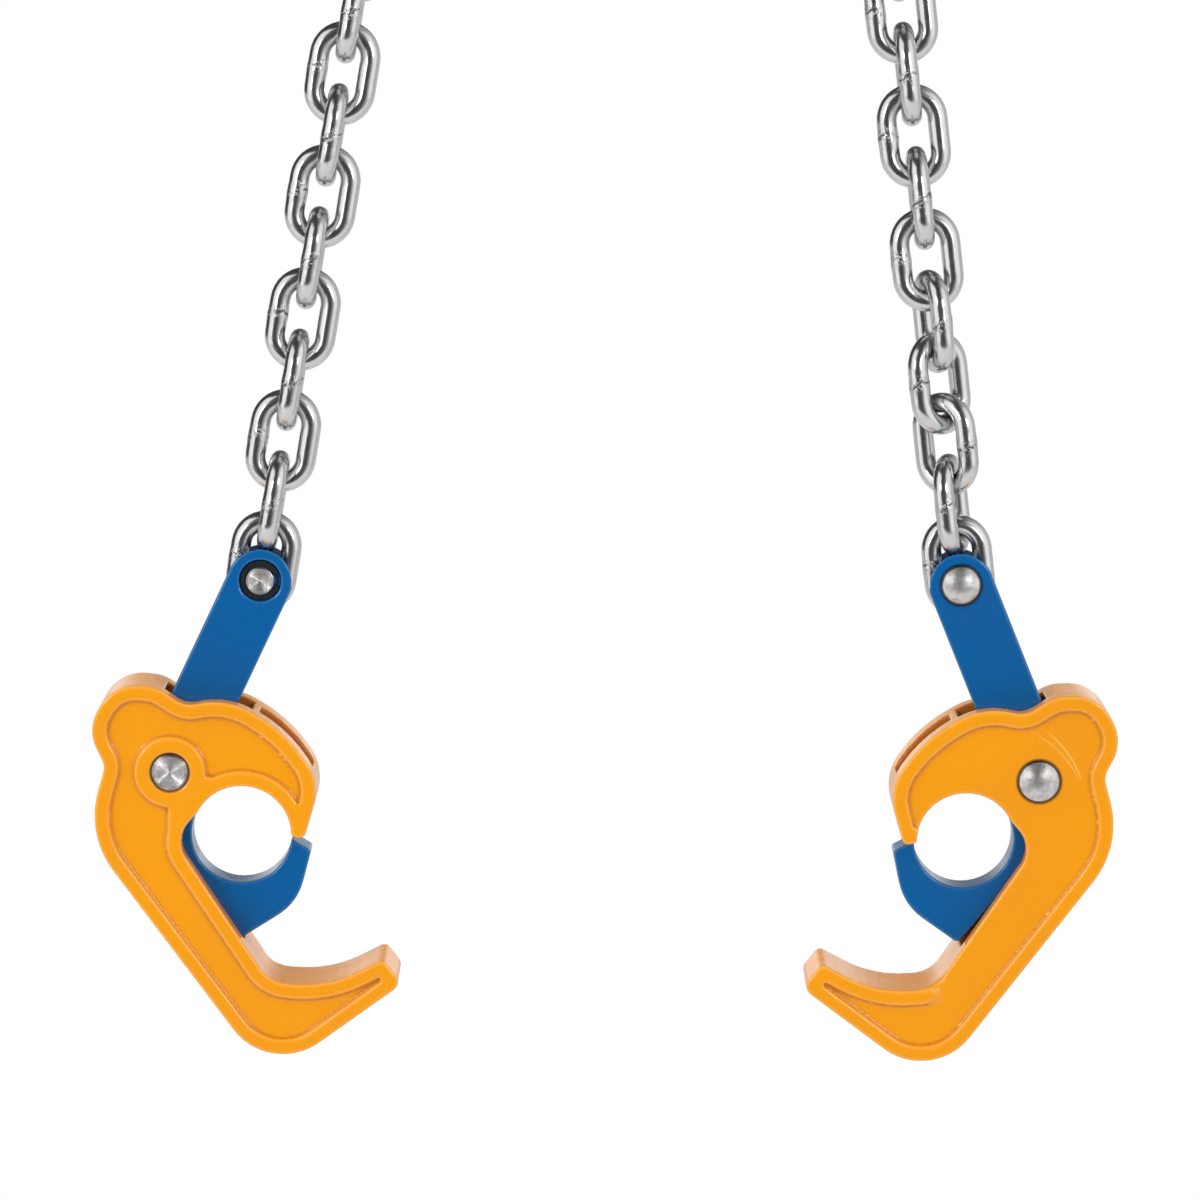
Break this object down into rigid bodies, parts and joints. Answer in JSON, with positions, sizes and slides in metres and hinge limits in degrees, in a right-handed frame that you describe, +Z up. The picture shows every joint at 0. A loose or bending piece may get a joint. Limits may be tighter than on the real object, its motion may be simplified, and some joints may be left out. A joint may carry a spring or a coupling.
{
  "type": "drum lifter",
  "caption": "Chain drum lifter: an oblong master link carries chain legs, each ending in a yellow hook body with a blue fork lever whose jaw grips the drum's rim.",
  "frame": {"origin": "where the crane hook bears on the inside of the master link", "axes": "+Z up, +X from the left clamp to the right clamp, +Y away from the viewer of the picture"},
  "size_m": [0.2981, 0.031, 0.7805],
  "materials": {
    "chain_steel": "bare steel, smooth, slightly dull",
    "pin_steel": "turned steel",
    "ring_steel": "dark spring steel",
    "yellow_enamel": "gloss enamel on cast steel",
    "blue_enamel": "gloss enamel on cast steel"
  },
  "bodies": {
    "master": {"master_link": "chain_steel"},
    "left_top": {"left_top_link": "chain_steel"},
    "left_upper": {"left_upper_chain": "chain_steel"},
    "left_lower": {"left_lower_chain": "chain_steel"},
    "left_ring_6": {"left_link_6": "chain_steel"},
    "left_ring_5": {"left_link_5": "chain_steel"},
    "left_ring_4": {"left_link_4": "chain_steel"},
    "left_ring_3": {"left_link_3": "chain_steel"},
    "left_ring_2": {"left_link_2": "chain_steel"},
    "left_ring_1": {"left_link_1": "chain_steel"},
    "left_jaw": {"left_lever": "blue_enamel", "left_chain_pin": "pin_steel", "left_pin_ring": "ring_steel"},
    "left_hook": {"left_hook_body": "yellow_enamel", "left_pivot_pin": "pin_steel"},
    "right_top": {"right_top_link": "chain_steel"},
    "right_upper": {"right_upper_chain": "chain_steel"},
    "right_lower": {"right_lower_chain": "chain_steel"},
    "right_ring_6": {"right_link_6": "chain_steel"},
    "right_ring_5": {"right_link_5": "chain_steel"},
    "right_ring_4": {"right_link_4": "chain_steel"},
    "right_ring_3": {"right_link_3": "chain_steel"},
    "right_ring_2": {"right_link_2": "chain_steel"},
    "right_ring_1": {"right_link_1": "chain_steel"},
    "right_jaw": {"right_lever": "blue_enamel", "right_chain_pin": "pin_steel", "right_pin_ring": "ring_steel"},
    "right_hook": {"right_hook_body": "yellow_enamel", "right_pivot_pin": "pin_steel"}
  },
  "joints": [
    {"name": "left_spread", "type": "hinge", "parent": "master", "child": "left_top", "pos_m": [0, 0, -0.065], "axis": [0, 1, 0], "range_deg": [0, 33]},
    {"name": "left_top_swing", "type": "hinge", "parent": "left_top", "child": "left_upper", "pos_m": [-0.01121, 0, -0.11516], "axis": [0.9759, 0, -0.2181], "range_deg": [-30, 30]},
    {"name": "left_mid_swing", "type": "hinge", "parent": "left_upper", "child": "left_lower", "pos_m": [-0.06363, 0, -0.34968], "axis": [-0.9759, 0, 0.2181], "range_deg": [-30, 30]},
    {"name": "left_link_6_turn", "type": "hinge", "parent": "left_lower", "child": "left_ring_6", "pos_m": [-0.09428, 0, -0.52705], "axis": [0.9853, 0, -0.1711], "range_deg": [-30, 30]},
    {"name": "left_link_5_turn", "type": "hinge", "parent": "left_ring_6", "child": "left_ring_5", "pos_m": [-0.09736, 0, -0.54479], "axis": [0, -1, 0], "range_deg": [-30, 30]},
    {"name": "left_link_4_turn", "type": "hinge", "parent": "left_ring_5", "child": "left_ring_4", "pos_m": [-0.10043, 0, -0.56252], "axis": [-0.9853, 0, 0.1711], "range_deg": [-30, 30]},
    {"name": "left_link_3_turn", "type": "hinge", "parent": "left_ring_4", "child": "left_ring_3", "pos_m": [-0.10351, 0, -0.58025], "axis": [0, 1, 0], "range_deg": [-30, 30]},
    {"name": "left_link_2_turn", "type": "hinge", "parent": "left_ring_3", "child": "left_ring_2", "pos_m": [-0.10659, 0, -0.59799], "axis": [0.9853, 0, -0.1711], "range_deg": [-30, 30]},
    {"name": "left_link_1_turn", "type": "hinge", "parent": "left_ring_2", "child": "left_ring_1", "pos_m": [-0.10967, 0, -0.61572], "axis": [0, -1, 0], "range_deg": [-30, 30]},
    {"name": "left_eye_turn", "type": "hinge", "parent": "left_ring_1", "child": "left_jaw", "pos_m": [-0.1115, 0, -0.62627], "axis": [0, -1, 0], "range_deg": [-35, 60]},
    {"name": "left_jaw_turn", "type": "hinge", "parent": "left_jaw", "child": "left_hook", "pos_m": [-0.13814, 0, -0.68137], "axis": [0, -1, 0], "range_deg": [-2.5, 8]},
    {"name": "right_spread", "type": "hinge", "parent": "master", "child": "right_top", "pos_m": [0, 0, -0.065], "axis": [0, -1, 0], "range_deg": [0, 33]},
    {"name": "right_top_swing", "type": "hinge", "parent": "right_top", "child": "right_upper", "pos_m": [0.01121, 0, -0.11516], "axis": [0.9759, 0, 0.2181], "range_deg": [-30, 30]},
    {"name": "right_mid_swing", "type": "hinge", "parent": "right_upper", "child": "right_lower", "pos_m": [0.06262, 0, -0.34347], "axis": [-0.9946, 0, -0.1037], "range_deg": [-30, 30]},
    {"name": "right_link_6_turn", "type": "hinge", "parent": "right_lower", "child": "right_ring_6", "pos_m": [0.08193, 0, -0.52876], "axis": [0, 1, 0], "range_deg": [-30, 30]},
    {"name": "right_link_5_turn", "type": "hinge", "parent": "right_ring_6", "child": "right_ring_5", "pos_m": [0.0838, 0, -0.54667], "axis": [0.9459, 0.309, 0.0986], "range_deg": [-20, 20]},
    {"name": "right_link_4_turn", "type": "hinge", "parent": "right_ring_5", "child": "right_ring_4", "pos_m": [0.08566, 0, -0.56457], "axis": [0.5846, -0.809, 0.0609], "range_deg": [-20, 20]},
    {"name": "right_link_3_turn", "type": "hinge", "parent": "right_ring_4", "child": "right_ring_3", "pos_m": [0.08753, 0, -0.58247], "axis": [-0.5846, -0.809, -0.0609], "range_deg": [-20, 20]},
    {"name": "right_link_2_turn", "type": "hinge", "parent": "right_ring_3", "child": "right_ring_2", "pos_m": [0.08939, 0, -0.60038], "axis": [0.9459, -0.309, 0.0986], "range_deg": [-20, 20]},
    {"name": "right_link_1_turn", "type": "hinge", "parent": "right_ring_2", "child": "right_ring_1", "pos_m": [0.09126, 0, -0.61828], "axis": [0, 1, 0], "range_deg": [-20, 20]},
    {"name": "right_eye_turn", "type": "hinge", "parent": "right_ring_1", "child": "right_jaw", "pos_m": [0.09237, 0, -0.62892], "axis": [0, 1, 0], "range_deg": [-35, 60]},
    {"name": "right_jaw_turn", "type": "hinge", "parent": "right_jaw", "child": "right_hook", "pos_m": [0.1148, 0, -0.68586], "axis": [0, 1, 0], "range_deg": [-0.3, 10.2]}
  ]
}
